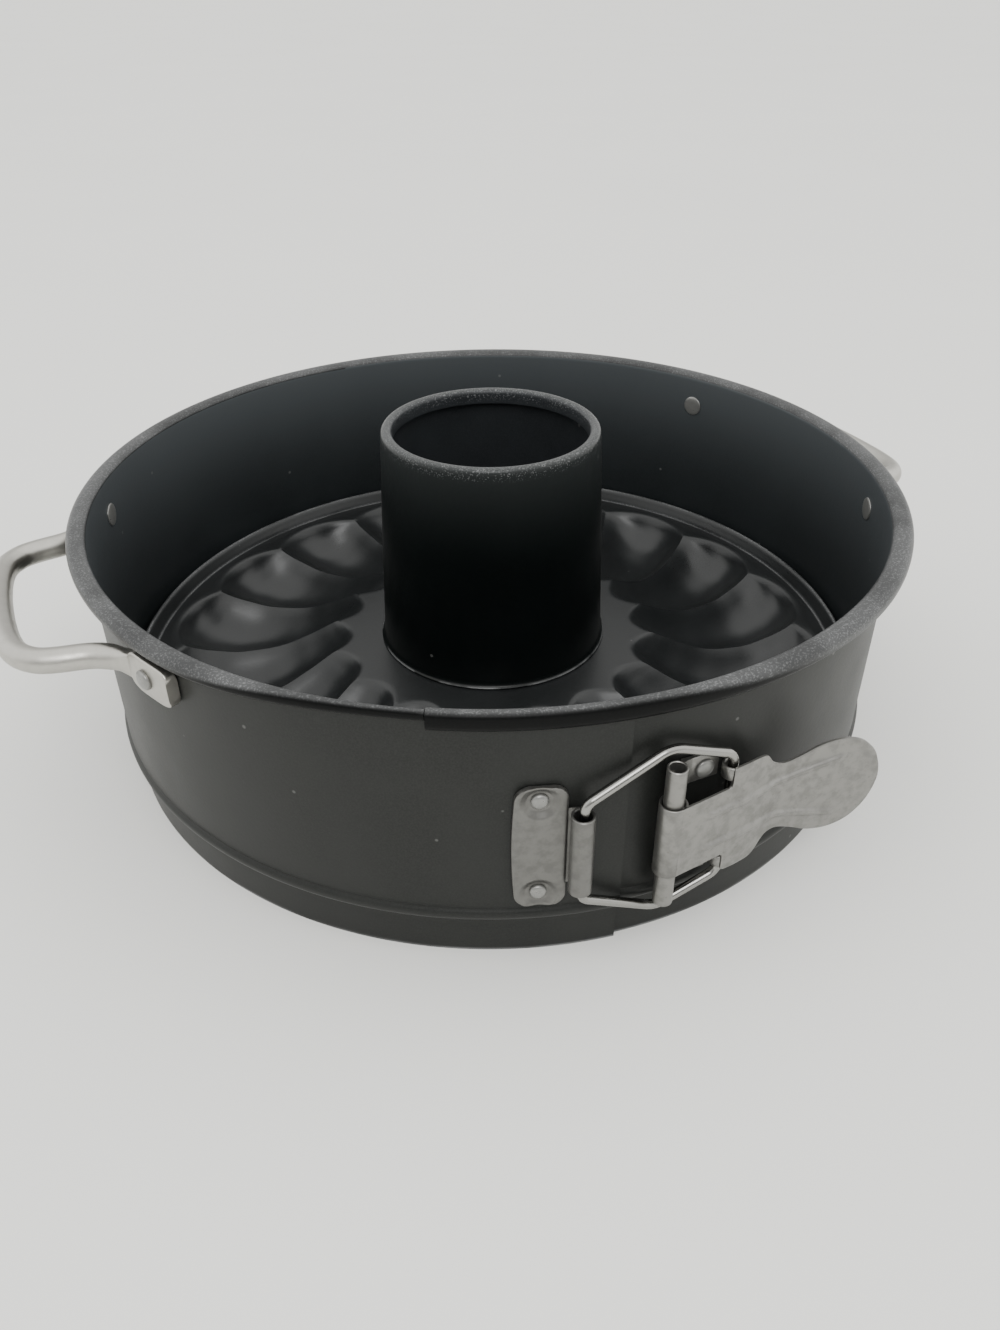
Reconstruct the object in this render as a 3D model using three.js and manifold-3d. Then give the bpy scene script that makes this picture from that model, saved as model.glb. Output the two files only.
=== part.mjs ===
// Fluted tube pan: a springform band that a lever latch draws together round a lift-out fluted
// base with a centre tube, and two wire loop handles riveted to the band.
// Millimetres, +Z up. The tube axis is the Z axis, the table is z = 0, the handles lie on X and
// the latch faces -Y.
import * as THREE from "three";
import { mergeVertices } from "three/addons/utils/BufferGeometryUtils.js";
import Module from "manifold-3d";

// Band: one springy strip, modelled as two halves that part at the back
const PAN_HEIGHT = 75.5;
const BAND_RADIUS = 116.3;
const SHEET = 0.8;
const STRIP_GAP = 0.3;
const SKIRT_STEP = 1.6;
const SEAT_Z = 12.7;
const SEAT_BEAD = 0.5;
const SEAT_LIFT = 0.5;
const RIM_LEFT = { width: 5.2, tall: 4.0 };
const RIM_RIGHT = { width: 5.8, tall: 4.8 };
const BACK_SEAM = 90;
const BACK_SEAM_HALF = 0.1;
const OUTER_STRIP_END = 262.5;
const INNER_STRIP_END = -119.5;
const LAP_GAP = 0.5;
const BAND_STEP = 5.8;

// Base insert with its flutes
const FLUTES = 18;
const FLUTE_SAMPLES = 6;
const FLUTE_SWIRL = 8;
const FLUTE_PHASE = -27.5;
const FLUTE_SHARPNESS = 2.2;
const FLUTE_INNER = 45;
const EDGE_RING = 7.4;
const RIDGE_INNER_SETBACK = 5;
const CUSP_SETBACK = 5;
const BASE_SHEET = 0.8;
const BASE_FIT = 1.0;
const BASE_HOLE = 35.3;
const LAND_Z = 22.3;
const RING_Z = 19.1;
const BASE_RIM_Z = 23;
const BASE_REST = 0.1;

// Centre tube
const TUBE_FOOT_RADIUS = 34.9;
const TUBE_TOP_RADIUS = 32.1;
const TUBE_SHEET = 0.8;
const TUBE_TOP = 91.4;
const HEM_WIDTH = 3.4;
const HEM_DROP = 4.4;
const CRIMP_RADIUS = 36.6;
const CRIMP_FIT = 0.3;

// Loop handles
const HANDLE_DROP = 11.5;
const HANDLE_WIRE = 6.5;
const HANDLE_FIT = 0.3;
const HANDLE_PLATE = { thick: 3.2, tall: 10.6 };
const HANDLE_RIGHT = { az: 1.65, spread: 24.65, reach: 22.6, droop: 3 };
const HANDLE_LEFT = { az: 181.05, spread: 23.35, reach: 23.4, droop: 0 };

// Latch, in a frame on the lever's pivot: x along the band, y towards the pan, z up
const LATCH_RISE = 16.45;
const LATCH_SHARE = 0.1;
const PIVOT_AZ = -93;
const PIVOT_STANDOFF = 4.1;
const PIVOT_TUBE = { outer: 2.4, inner: 1.8, half: 20.9 };
const KNUCKLE = { inner: 2.7, outer: 3.4, half: 10.5 };
const LEVER_SHEET = 1.0;
const LEVER_FRONT = -0.3;
const RIB_TALL = 0.55;
const RIB_HALF = 1.2;
const LOOP_WIRE = 2.8;
const WIRE_FIT = 0.3;
const LOOP_AT_LEVER = { x: 16, y: 2.4 };
const LOOP_AT_PLATE_AZ = -103;
const LOOP_STANDOFF = 3.9;
const LOOP_HALF = 24.8;
const CURL_SHEET = 0.8;
const CURL_HALF = 11.7;
const BRACKET_RIVET_AZ = -88.2;
const BRACKET_RIVET_Z = 14.4;
const BRACKET_SHEET = 0.9;
const BRACKET_HALF = 18.3;
const BRACKET_TAB = 7.2;
const BRACKET_FOOT = { near: 3.6, far: 13.6 };
const PLATE_AZ = -107.6;
const PLATE_SIZE = { width: 12.7, tall: 36.6, thick: 1.4, corner: 3.5 };
const PLATE_RIVET_Z = 14.1;
const PLATE_DISH = 1.0;
const PLATE_FIT = 0.3;

// Rivets
const RIVET_SHANK = 1.6;
const RIVET_HOLE = 1.9;
const RIVET_FIT = 0.2;
const RIVET_HEAD = 3.4;
const RIVET_HEAD_THICK = 0.5;
const HANDLE_RIVET_HEAD = 2.6;
const LATCH_RIVET_HEAD = 2.4;

const deg = Math.PI / 180;
const innerStripRadius = BAND_RADIUS - SHEET - STRIP_GAP;

// Places that follow from the sizes above
const overlapTop = PAN_HEIGHT - RIM_RIGHT.tall - LAP_GAP;
const baseRadius = innerStripRadius - SHEET - BASE_FIT;
const baseEdgeZ = SEAT_Z + SEAT_LIFT + BASE_REST;
const fluteOuter = baseRadius - EDGE_RING;
const handleZ = PAN_HEIGHT - HANDLE_DROP;
const latchZ = SEAT_Z + LATCH_RISE + LATCH_SHARE * PAN_HEIGHT;
const pivotRadius = BAND_RADIUS + PIVOT_STANDOFF;
const loopAtPlateRadius = BAND_RADIUS + LOOP_STANDOFF;

const wasm = await Module();
wasm.setup();

// Turn a triangle mesh the right way out
function outward(points, faces) {
  let volume = 0;
  for (const [a, b, c] of faces) {
    const p = new THREE.Vector3(...points[a]);
    const q = new THREE.Vector3(...points[b]);
    const r = new THREE.Vector3(...points[c]);
    volume += p.dot(q.cross(r));
  }
  const order = volume < 0 ? faces.map(([a, b, c]) => [a, c, b]) : faces;
  const geometry = new THREE.BufferGeometry();
  geometry.setAttribute("position", new THREE.Float32BufferAttribute(points.flat(), 3));
  geometry.setIndex(order.flat());
  return geometry;
}

// Skin a row of equal closed rings; the ends are capped unless the row closes on itself
function loft(rings, closed, capShape) {
  const n = rings[0].length;
  const points = rings.flat();
  const faces = [];
  const rows = closed ? rings.length : rings.length - 1;
  for (let j = 0; j < rows; j++) {
    const k = (j + 1) % rings.length;
    for (let i = 0; i < n; i++) {
      const m = (i + 1) % n;
      faces.push([j * n + i, k * n + i, k * n + m]);
      faces.push([j * n + i, k * n + m, j * n + m]);
    }
  }
  if (!closed) {
    const contour = capShape.map(([x, y]) => new THREE.Vector2(x, y));
    const last = (rings.length - 1) * n;
    const ccw = !THREE.ShapeUtils.isClockWise(contour);
    for (const [a, b, c] of THREE.ShapeUtils.triangulateShape(contour, [])) {
      faces.push(ccw ? [a, b, c] : [a, c, b]);
      faces.push(ccw ? [last + a, last + c, last + b] : [last + a, last + b, last + c]);
    }
    const flip = capFacesWrong(faces, n);
    if (flip) {
      const caps = faces.slice(rows * n * 2).map(([a, b, c]) => [a, c, b]);
      faces.splice(rows * n * 2, caps.length, ...caps);
    }
  }
  return outward(points, faces);
}

// A cap that runs a ring edge the same way as the side wall does has to be turned over
function capFacesWrong(faces, n) {
  const wall = new Set();
  const count = faces.findIndex(([a, b, c]) => a < n && b < n && c < n);
  for (const [a, b, c] of faces.slice(0, count)) {
    wall.add(`${a},${b}`).add(`${b},${c}`).add(`${c},${a}`);
  }
  const first = faces.slice(count).filter(([a, b, c]) => a < n && b < n && c < n);
  return first.some(([a, b, c]) => [[a, b], [b, c], [c, a]].some(
    ([s, e]) => (e === (s + 1) % n || s === (e + 1) % n) && wall.has(`${s},${e}`)));
}

// Give a sheet its thickness on both sides of a middle line
function sheetOutline(line, thick) {
  const sides = [[], []];
  line.forEach((p, i) => {
    const a = line[Math.max(i - 1, 0)];
    const b = line[Math.min(i + 1, line.length - 1)];
    const d1 = new THREE.Vector2(p[0] - a[0], p[1] - a[1]);
    const d2 = new THREE.Vector2(b[0] - p[0], b[1] - p[1]);
    const u1 = (i === 0 ? d2 : d1).clone().normalize();
    const u2 = (i === line.length - 1 ? d1 : d2).clone().normalize();
    const sum = u1.clone().add(u2).normalize();
    const reach = thick / 2 / Math.max(sum.dot(u1), 0.5);
    sides[0].push([p[0] + sum.y * reach, p[1] - sum.x * reach]);
    sides[1].push([p[0] - sum.y * reach, p[1] + sum.x * reach]);
  });
  return [...sides[0], ...sides[1].reverse()];
}

// Revolve a profile of [radius, height] pairs through an angle range about Z
function revolve(profile, from, to, steps) {
  const full = to - from >= 360;
  const rings = [];
  for (let j = 0; j < (full ? steps : steps + 1); j++) {
    const a = (from + (to - from) * j / steps) * deg;
    rings.push(profile.map(([r, z]) => [r * Math.cos(a), r * Math.sin(a), z]));
  }
  return loft(rings, full, profile);
}

// Sweep an oval section along a path; spread lies across the path, tall along the fixed axis
function sweep(path, axis, spread, tall, sides, closed) {
  const oval = [];
  for (let i = 0; i < sides; i++) {
    const a = (i + 0.5) * 2 * Math.PI / sides;
    oval.push([Math.cos(a), Math.sin(a)]);
  }
  const count = path.length;
  const rings = path.map((p, j) => {
    const prev = path[closed ? (j + count - 1) % count : Math.max(j - 1, 0)];
    const next = path[closed ? (j + 1) % count : Math.min(j + 1, count - 1)];
    const d1 = p.clone().sub(prev).normalize();
    const d2 = next.clone().sub(p).normalize();
    const along = d1.add(d2).normalize();
    const across = along.clone().cross(axis).normalize();
    return oval.map(([c, s]) => p.clone().addScaledVector(across, spread[j] * c)
      .addScaledVector(axis, tall[j] * s).toArray());
  });
  return loft(rings, closed, oval);
}

// A turned piece along a radial line of the pan: [radius, distance from the pan axis] pairs
function radialTurned(az, z, profile, sides = 10) {
  const a = az * deg;
  const rings = profile.map(([radius, reach]) => {
    const ring = [];
    for (let i = 0; i < sides; i++) {
      const b = i * 2 * Math.PI / sides;
      const t = radius * Math.cos(b);
      ring.push([
        reach * Math.cos(a) - t * Math.sin(a),
        reach * Math.sin(a) + t * Math.cos(a),
        z + radius * Math.sin(b)]);
    }
    return ring;
  });
  const cap = [];
  for (let i = 0; i < sides; i++) {
    const b = i * 2 * Math.PI / sides;
    cap.push([Math.cos(b), Math.sin(b)]);
  }
  return loft(rings, false, cap);
}

// Closed bodies for the boolean steps, and back
function solid(geometry) {
  geometry.deleteAttribute("normal");
  geometry.deleteAttribute("uv");
  const merged = mergeVertices(geometry, 1e-5);
  return new wasm.Manifold(new wasm.Mesh({
    numProp: 3,
    vertProperties: new Float32Array(merged.attributes.position.array),
    triVerts: new Uint32Array(merged.index.array),
  }));
}

function geometryOf(body) {
  const mesh = body.getMesh();
  const geometry = new THREE.BufferGeometry();
  geometry.setAttribute("position", new THREE.Float32BufferAttribute(mesh.vertProperties, 3));
  geometry.setIndex(Array.from(mesh.triVerts));
  return geometry;
}

function shapeOf(points) {
  return new THREE.Shape(points.map(([x, y]) => new THREE.Vector2(x, y)));
}

// An upright outline [x, z] with its back at y = back, standing out towards -y
function upright(points, back, thick) {
  const geometry = new THREE.ExtrudeGeometry(shapeOf(points), { depth: thick, bevelEnabled: false });
  geometry.rotateX(Math.PI / 2);
  geometry.translate(0, back, 0);
  return solid(geometry);
}

// A plan outline [x, y] drawn up from z = low to z = high
function plan(points, low, high) {
  const geometry = new THREE.ExtrudeGeometry(shapeOf(points), { depth: high - low, bevelEnabled: false });
  geometry.translate(0, 0, low);
  return solid(geometry);
}

// Part of a rolled barrel in plan, between two angles about (x, y)
function barrel(x, y, inner, outer, from, to, low, high, steps = 12) {
  const points = [];
  for (let i = 0; i <= steps; i++) {
    const a = (from + (to - from) * i / steps) * deg;
    points.push([x + outer * Math.cos(a), y + outer * Math.sin(a)]);
  }
  for (let i = steps; i >= 0; i--) {
    const a = (from + (to - from) * i / steps) * deg;
    points.push([x + inner * Math.cos(a), y + inner * Math.sin(a)]);
  }
  return plan(points, low, high);
}

// A full tube about the pivot
function tube(outer, inner, half) {
  const profile = [[inner, -half], [outer, -half], [outer, half], [inner, half]];
  return solid(revolve(profile, 0, 360, 20));
}

// Move a body from a frame on the wall at an azimuth to its place on the pan
function onWall(body, az, radius) {
  const turn = new THREE.Matrix4().makeRotationZ((az + 90) * deg);
  turn.setPosition(radius * Math.cos(az * deg), radius * Math.sin(az * deg), latchZ);
  return geometryOf(body).applyMatrix4(turn);
}

// Section of the band: skirt, seat bead, wall and open rolled rim. The inner strip's seat is lifted
// to lie on the outer strip's.
function bandProfile(radius, rim, lift) {
  const wall = radius - SHEET / 2;
  const skirt = wall - SKIRT_STEP;
  const a = (rim.width - SHEET) / 2;
  const b = (rim.tall - SHEET) / 2;
  const rimZ = PAN_HEIGHT - SHEET / 2 - b;
  const seat = SEAT_Z + lift;
  const line = [
    [skirt, 0], [skirt, seat - 1.9], [skirt + SKIRT_STEP * 0.25, seat - 0.8],
    [wall - 0.1, seat], [wall + SEAT_BEAD * 0.7, seat + 0.8], [wall + SEAT_BEAD, seat + 1.8],
    [wall + SEAT_BEAD * 0.3, seat + 3.3], [wall, seat + 4.7],
  ];
  for (const angle of [180, 140, 100, 60, 20, -20, -56]) {
    line.push([wall + a + a * Math.cos(angle * deg), rimZ + b * Math.sin(angle * deg)]);
  }
  return sheetOutline(line, SHEET);
}

function bandStrip(radius, rim, lift, from, to, holes) {
  const steps = Math.round((to - from) / BAND_STEP);
  let body = solid(revolve(bandProfile(radius, rim, lift), from, to, steps));
  for (const [az, z] of holes) {
    const drill = [[RIVET_HOLE, radius - 6], [RIVET_HOLE, radius + 6]];
    body = body.subtract(solid(radialTurned(az, z, drill)));
  }
  return body;
}

const bracketRivets = [1, -1].map((s) => [BRACKET_RIVET_AZ, latchZ + s * BRACKET_RIVET_Z]);
const plateRivets = [1, -1].map((s) => [PLATE_AZ, latchZ + s * PLATE_RIVET_Z]);
const handleRivets = ({ az, spread }) => [1, -1].map((s) => [az + s * spread, handleZ]);

// Right half: the inner strip at the latch, with the wider rim that laps over the other strip
function makeBandRight() {
  const to = BACK_SEAM - BACK_SEAM_HALF;
  const holes = [...handleRivets(HANDLE_RIGHT), ...bracketRivets];
  return geometryOf(bandStrip(innerStripRadius, RIM_RIGHT, SEAT_LIFT, INNER_STRIP_END, to, holes));
}

// Left half: the outer strip at the latch; its rim stops short where the other rim laps over it
function makeBandLeft() {
  const from = BACK_SEAM + BACK_SEAM_HALF;
  const holes = [...handleRivets(HANDLE_LEFT), ...plateRivets];
  const body = bandStrip(BAND_RADIUS, RIM_LEFT, 0, from, OUTER_STRIP_END, holes);
  const within = BAND_RADIUS - 12;
  const beyond = BAND_RADIUS + 14;
  const over = PAN_HEIGHT + 5;
  const cut = [[within, overlapTop], [beyond, overlapTop], [beyond, over], [within, over]];
  const lap = revolve(cut, INNER_STRIP_END + 360 - 0.3, OUTER_STRIP_END + 2, 5);
  return geometryOf(body.subtract(solid(lap)));
}

// Fluted base: rows of points from the tube hole out to the foot of its edge, then given thickness
function makeBase() {
  const around = FLUTES * FLUTE_SAMPLES;
  const along = [
    [0, LAND_Z, LAND_Z], [0.08, 20.9, 18.9], [0.24, 16.9, 12], [0.42, 13.8, 7.4],
    [0.62, 13.2, 5.5], [0.8, 15, 7.6], [0.93, 17.4, 12.9], [1, RING_Z, RING_Z],
  ];
  const inside = [[BASE_HOLE, LAND_Z]];
  const outside = [
    [baseRadius - 4.2, RING_Z], [baseRadius - 2.7, BASE_RIM_Z - 1.5], [baseRadius - 1.4, BASE_RIM_Z],
    [baseRadius - 0.4, BASE_RIM_Z - 0.7], [baseRadius, BASE_RIM_Z - 2], [baseRadius, baseEdgeZ],
  ];
  const rows = [];
  const addRow = (swirl, at) => {
    const row = [];
    for (let i = 0; i < around; i++) {
      const d = Math.abs(2 * (i % FLUTE_SAMPLES) / FLUTE_SAMPLES - 1);
      const a = (FLUTE_PHASE + swirl + i * 360 / around) * deg;
      const [r, z] = at(d);
      row.push(new THREE.Vector3(r * Math.cos(a), r * Math.sin(a), z));
    }
    rows.push(row);
  };
  for (const [r, z] of inside) addRow(0, () => [r, z]);
  for (const [s, ridge, trough] of along) {
    addRow(FLUTE_SWIRL * s, (d) => {
      const from = FLUTE_INNER + RIDGE_INNER_SETBACK * d * d;
      const to = fluteOuter - CUSP_SETBACK * d * d;
      return [from + (to - from) * s, trough + (ridge - trough) * d ** FLUTE_SHARPNESS];
    });
  }
  for (const [r, z] of outside) addRow(FLUTE_SWIRL, () => [r, z]);
  const under = rows.map((row, j) => row.map((p, i) => {
    const out = rows[Math.min(j + 1, rows.length - 1)][i].clone().sub(rows[Math.max(j - 1, 0)][i]);
    const round = row[(i + 1) % around].clone().sub(row[(i + around - 1) % around]);
    return p.clone().addScaledVector(out.cross(round).normalize(), -BASE_SHEET).toArray();
  }));
  const top = rows.map((row) => row.map((p) => p.toArray()));
  return loft([...top, ...under.reverse()], true);
}

// Centre tube: crimped through the base, hem rolled inwards at the top
function makeTube() {
  const inner = TUBE_TOP_RADIUS - TUBE_SHEET;
  const foot = LAND_Z - BASE_SHEET - CRIMP_FIT;
  const lip = LAND_Z + CRIMP_FIT;
  const hem = TUBE_TOP_RADIUS - HEM_WIDTH;
  const profile = [
    [TUBE_FOOT_RADIUS - TUBE_SHEET, foot - 0.9], [CRIMP_RADIUS, foot - 0.9], [CRIMP_RADIUS, foot],
    [BASE_HOLE - CRIMP_FIT, foot], [BASE_HOLE - CRIMP_FIT, lip], [CRIMP_RADIUS - 0.4, lip],
    [CRIMP_RADIUS, lip + 0.3], [CRIMP_RADIUS - 0.1, lip + 0.7], [CRIMP_RADIUS - 0.8, lip + 1],
    [TUBE_FOOT_RADIUS + 0.2, lip + 1.4], [TUBE_FOOT_RADIUS, lip + 2.4],
    [TUBE_TOP_RADIUS, TUBE_TOP - 2.6], [TUBE_TOP_RADIUS - 0.3, TUBE_TOP - 1],
    [TUBE_TOP_RADIUS - 1.2, TUBE_TOP - 0.1], [hem + 1.2, TUBE_TOP], [hem + 0.3, TUBE_TOP - 0.7],
    [hem, TUBE_TOP - 1.8], [hem, TUBE_TOP - HEM_DROP], [hem + TUBE_SHEET, TUBE_TOP - HEM_DROP],
    [hem + TUBE_SHEET, TUBE_TOP - 1.9], [hem + 1.7, TUBE_TOP - 1.1], [inner, TUBE_TOP - 2.4],
  ];
  return revolve(profile, 0, 360, 36);
}

// Handle wire with its two ends flattened against the wall; the bow may hang below its rivets
function makeHandle({ az, spread, reach, droop }, wallRadius) {
  const half = HANDLE_WIRE / 2;
  const flat = HANDLE_PLATE.thick / 2;
  const seat = wallRadius + HANDLE_FIT + flat;
  const onArc = [
    [4.3, 0.66], [3.9, 0.88], [2.6, 1], [0, 1], [-1.8, 1], [-2.9, 0.87], [-3.7, 0.64]];
  const steps = onArc.map(([a, k]) => ({
    x: seat * Math.cos((spread + a) * deg), y: seat * Math.sin((spread + a) * deg), z: handleZ,
    w: flat, h: HANDLE_PLATE.tall / 2 * k }));
  const neck = wallRadius + HANDLE_FIT + 2.4;
  const turn = (spread - 5.2) * deg;
  steps.push({ x: neck * Math.cos(turn), y: neck * Math.sin(turn), z: handleZ, w: 2.4, h: 3.1 });
  const out = (share) => wallRadius + reach * share;
  const bow = [
    [0, 33.9], [0.2, 31.6], [0.52, 30.1], [0.715, 28.2], [0.873, 23.8], [0.953, 17.2], [0.99, 8.6], [1, 0]];
  for (const [share, y] of bow) {
    steps.push({ x: out(share), y, z: handleZ - droop * share, w: half, h: half });
  }
  const whole = [...steps, ...steps.slice(0, -1).map((s) => ({ ...s, y: -s.y })).reverse()];
  const path = whole.map((s) => new THREE.Vector3(s.x, s.y, s.z));
  const wire = sweep(path, new THREE.Vector3(0, 0, 1), whole.map((s) => s.w), whole.map((s) => s.h), 12, false);
  let body = solid(wire);
  for (const [a] of handleRivets({ az: 0, spread })) {
    const drill = [[RIVET_HOLE, seat - 8], [RIVET_HOLE, seat + 8]];
    body = body.subtract(solid(radialTurned(a, handleZ, drill)));
  }
  return geometryOf(body).rotateZ(az * deg);
}

// Rivet through a sheet stack from a flat inside head to a domed outside head
function makeRivet(az, z, wallInside, outside, head) {
  const inside = wallInside - RIVET_FIT;
  const dome = outside + RIVET_FIT;
  return radialTurned(az, z, [
    [RIVET_HEAD - 0.2, inside - RIVET_HEAD_THICK], [RIVET_HEAD, inside],
    [RIVET_SHANK, inside], [RIVET_SHANK, dome], [head, dome], [head, dome + 0.3],
    [head * 0.6, dome + 1]]);
}

// Lever bracket: pivot tube on two tabs riveted to the inner strip
function makeBracket() {
  const back = (x) => pivotRadius - Math.sqrt((innerStripRadius + PLATE_FIT) ** 2 - x * x);
  const { near, far } = BRACKET_FOOT;
  const xs = [0, 0.34, 0.68, 1].map((t) => near + (far - near) * t);
  const foot = [...xs.map((x) => [x, back(x)]), ...xs.map((x) => [x, back(x) - BRACKET_SHEET]).reverse()];
  const round = PIVOT_TUBE.outer;
  const web = [
    [-0.42 * round, 0.83 * round], [0.67 * round, 0.67 * round],
    [near + 2, back(near + 2) - BRACKET_SHEET * 0.93], [near + 0.8, back(near + 0.8) - BRACKET_SHEET * 0.1]];
  let body = tube(PIVOT_TUBE.outer, PIVOT_TUBE.inner, PIVOT_TUBE.half);
  for (const low of [BRACKET_HALF - BRACKET_TAB, -BRACKET_HALF]) {
    body = body.add(plan(foot, low, low + BRACKET_TAB)).add(plan(web, low, low + BRACKET_TAB));
  }
  const geometry = onWall(body, PIVOT_AZ, pivotRadius);
  let drilled = solid(geometry);
  for (const [az, z] of bracketRivets) {
    const drill = [[RIVET_HOLE, innerStripRadius - 3], [RIVET_HOLE, innerStripRadius + 4]];
    drilled = drilled.subtract(solid(radialTurned(az, z, drill)));
  }
  return geometryOf(drilled);
}

// Lever: strip rolled round the pivot tube, two ears curled round the loop, thumb pad, two ribs.
// Each station gives x, half height and how far the plate lies towards the pan.
const LEVER_STATIONS = [
  [0.9, 10.5, -2.9], [8, 10.5, -1.5], [14.4, 10.5, -0.2], [14.9, 12.2, -0.1], [14.9, 15.4, -0.1], [16, 16, 0],
  [19, 16.1, 0.5],
  [23.6, 15.9, 1.6], [25.6, 14.6, 2.2], [27.3, 12.3, 2.7], [29.2, 10.9, 3.2], [32, 10.4, 3.4],
  [36, 11.6, 3.3], [40, 13.3, 3], [44, 14.1, 2.7], [48, 13.9, 2.4], [52, 12.3, 2.1], [55.5, 8.8, 1.9],
  [57.4, 5, 1.8], [58.2, 1.8, 1.8],
];
const RIB_STATIONS = [[8, 5], [16, 5], [19, 5], [24, 5.1], [28, 5.3], [32, 5.6], [38, 6.8], [44, 8.2], [48, 9]];

function leverDepth(x) {
  const next = LEVER_STATIONS.findIndex(([at]) => at >= x);
  const [x0, , y0] = LEVER_STATIONS[Math.max(next - 1, 0)];
  const [x1, , y1] = LEVER_STATIONS[next];
  return x1 > x0 ? y0 + (y1 - y0) * (x - x0) / (x1 - x0) : y1;
}

function slab(stations) {
  const rings = stations.map(([x, low, high, front, back]) => [
    [x, front, low], [x, back, low], [x, back, high], [x, front, high]]);
  return solid(loft(rings, false, [[0, 0], [1, 0], [1, 1], [0, 1]]));
}

function makeLever() {
  const plate = LEVER_STATIONS.map(([x, half, depth], i) => {
    const step = i > 0 && LEVER_STATIONS[i - 1][0] === x ? 0.05 : 0;
    return [x + step, -half, half, LEVER_FRONT + depth, LEVER_FRONT + LEVER_SHEET + depth];
  });
  let body = slab(plate).add(tube(KNUCKLE.outer, KNUCKLE.inner, KNUCKLE.half));
  const clear = [];
  for (let i = 0; i < 20; i++) {
    clear.push([KNUCKLE.inner * Math.cos(i * 18 * deg), KNUCKLE.inner * Math.sin(i * 18 * deg)]);
  }
  body = body.subtract(plan(clear, -20, 20));
  const inner = LOOP_WIRE / 2 + WIRE_FIT;
  const { x, y } = LOOP_AT_LEVER;
  for (const s of [1, -1]) {
    const ends = [s * 12, s * 15.6].sort((a, b) => a - b);
    body = body.add(barrel(x, y, inner, inner + CURL_SHEET, 55, 272, ends[0], ends[1]));
    body = body.add(slab(RIB_STATIONS.map(([at, z], i) => {
      const half = i === 0 || i === RIB_STATIONS.length - 1 ? RIB_HALF * 0.5 : RIB_HALF;
      const face = LEVER_FRONT + leverDepth(at);
      return [at, s * z - half, s * z + half, face - RIB_TALL, face + LEVER_SHEET / 2];
    })));
  }
  return onWall(body, PIVOT_AZ, pivotRadius);
}

// Loop side in the plate's curl, in the lever's frame
const swing = (LOOP_AT_PLATE_AZ - PIVOT_AZ) * deg;
const loopAtPlate = {
  x: loopAtPlateRadius * Math.sin(swing),
  y: pivotRadius - loopAtPlateRadius * Math.cos(swing),
};

// Wire loop: six-sided, one short side in the plate's curl and the other in the lever's ears
function makeLoop() {
  const corners = [
    [loopAtPlate.x, 14.6, 3.4], [-0.5, LOOP_HALF, 7], [LOOP_AT_LEVER.x, 18.4, 4],
    [LOOP_AT_LEVER.x, -18.4, 4], [-0.5, -LOOP_HALF, 7], [loopAtPlate.x, -14.6, 3.4],
  ];
  const slope = (LOOP_AT_LEVER.y - loopAtPlate.y) / (LOOP_AT_LEVER.x - loopAtPlate.x);
  const path = [];
  corners.forEach(([cx, cz, bend], i) => {
    const p = new THREE.Vector2(cx, cz);
    const before = corners[(i + corners.length - 1) % corners.length];
    const after = corners[(i + 1) % corners.length];
    const a = new THREE.Vector2(before[0], before[1]).sub(p).normalize();
    const b = new THREE.Vector2(after[0], after[1]).sub(p).normalize();
    const half = Math.acos(a.dot(b)) / 2;
    const run = bend / Math.tan(half);
    const centre = p.clone().add(a.clone().add(b).normalize().multiplyScalar(bend / Math.sin(half)));
    const start = p.clone().addScaledVector(a, run).sub(centre);
    const end = p.clone().addScaledVector(b, run).sub(centre);
    for (let k = 0; k <= 4; k++) {
      const q = start.clone().lerp(end, k / 4).normalize().multiplyScalar(bend).add(centre);
      const y = loopAtPlate.y + slope * (q.x - loopAtPlate.x);
      path.push(new THREE.Vector3(q.x, y, q.y));
    }
  });
  const half = path.map(() => LOOP_WIRE / 2);
  const geometry = sweep(path, new THREE.Vector3(0, 1, 0), half, half, 8, true);
  return onWall(solid(geometry), PIVOT_AZ, pivotRadius);
}

// Loop plate: rounded plate on the outer strip with two dished rivet seats and a curl for the loop.
// The curl is left open outwards, because this pivot is where the linkage is opened.
function makePlate() {
  const { width, tall, thick, corner } = PLATE_SIZE;
  const outline = [];
  [[1, 1, 0], [-1, 1, 90], [-1, -1, 180], [1, -1, 270]].forEach(([sx, sz, from]) => {
    for (let k = 0; k <= 3; k++) {
      const a = (from + 30 * k) * deg;
      outline.push([
        sx * (width / 2 - corner) + corner * Math.cos(a), sz * (tall / 2 - corner) + corner * Math.sin(a)]);
    }
  });
  const stand = BAND_RADIUS + PLATE_FIT;
  const turn = (LOOP_AT_PLATE_AZ - PLATE_AZ) * deg;
  const x = loopAtPlateRadius * Math.sin(turn);
  const y = stand - loopAtPlateRadius * Math.cos(turn);
  const inner = LOOP_WIRE / 2 + WIRE_FIT;
  let body = upright(outline, 0, thick);
  body = body.add(barrel(x, y, inner, inner + CURL_SHEET, 28, 186, -CURL_HALF, CURL_HALF));
  const tongue = [[4.5, -0.2], [4.5, -1], [x - 2.2, y + 2.1], [x - 0.4, y + 1.75], [x - 0.4, y + 2.6]];
  body = body.add(plan(tongue, -CURL_HALF, CURL_HALF));
  let placed = solid(onWall(body, PLATE_AZ, stand));
  for (const [az, z] of plateRivets) {
    const dish = [
      [RIVET_HOLE, stand - 3], [RIVET_HOLE, stand + thick - PLATE_DISH],
      [4.3, stand + thick + 0.01], [4.3, stand + thick + 3]];
    placed = placed.subtract(solid(radialTurned(az, z, dish)));
  }
  return geometryOf(placed);
}

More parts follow.
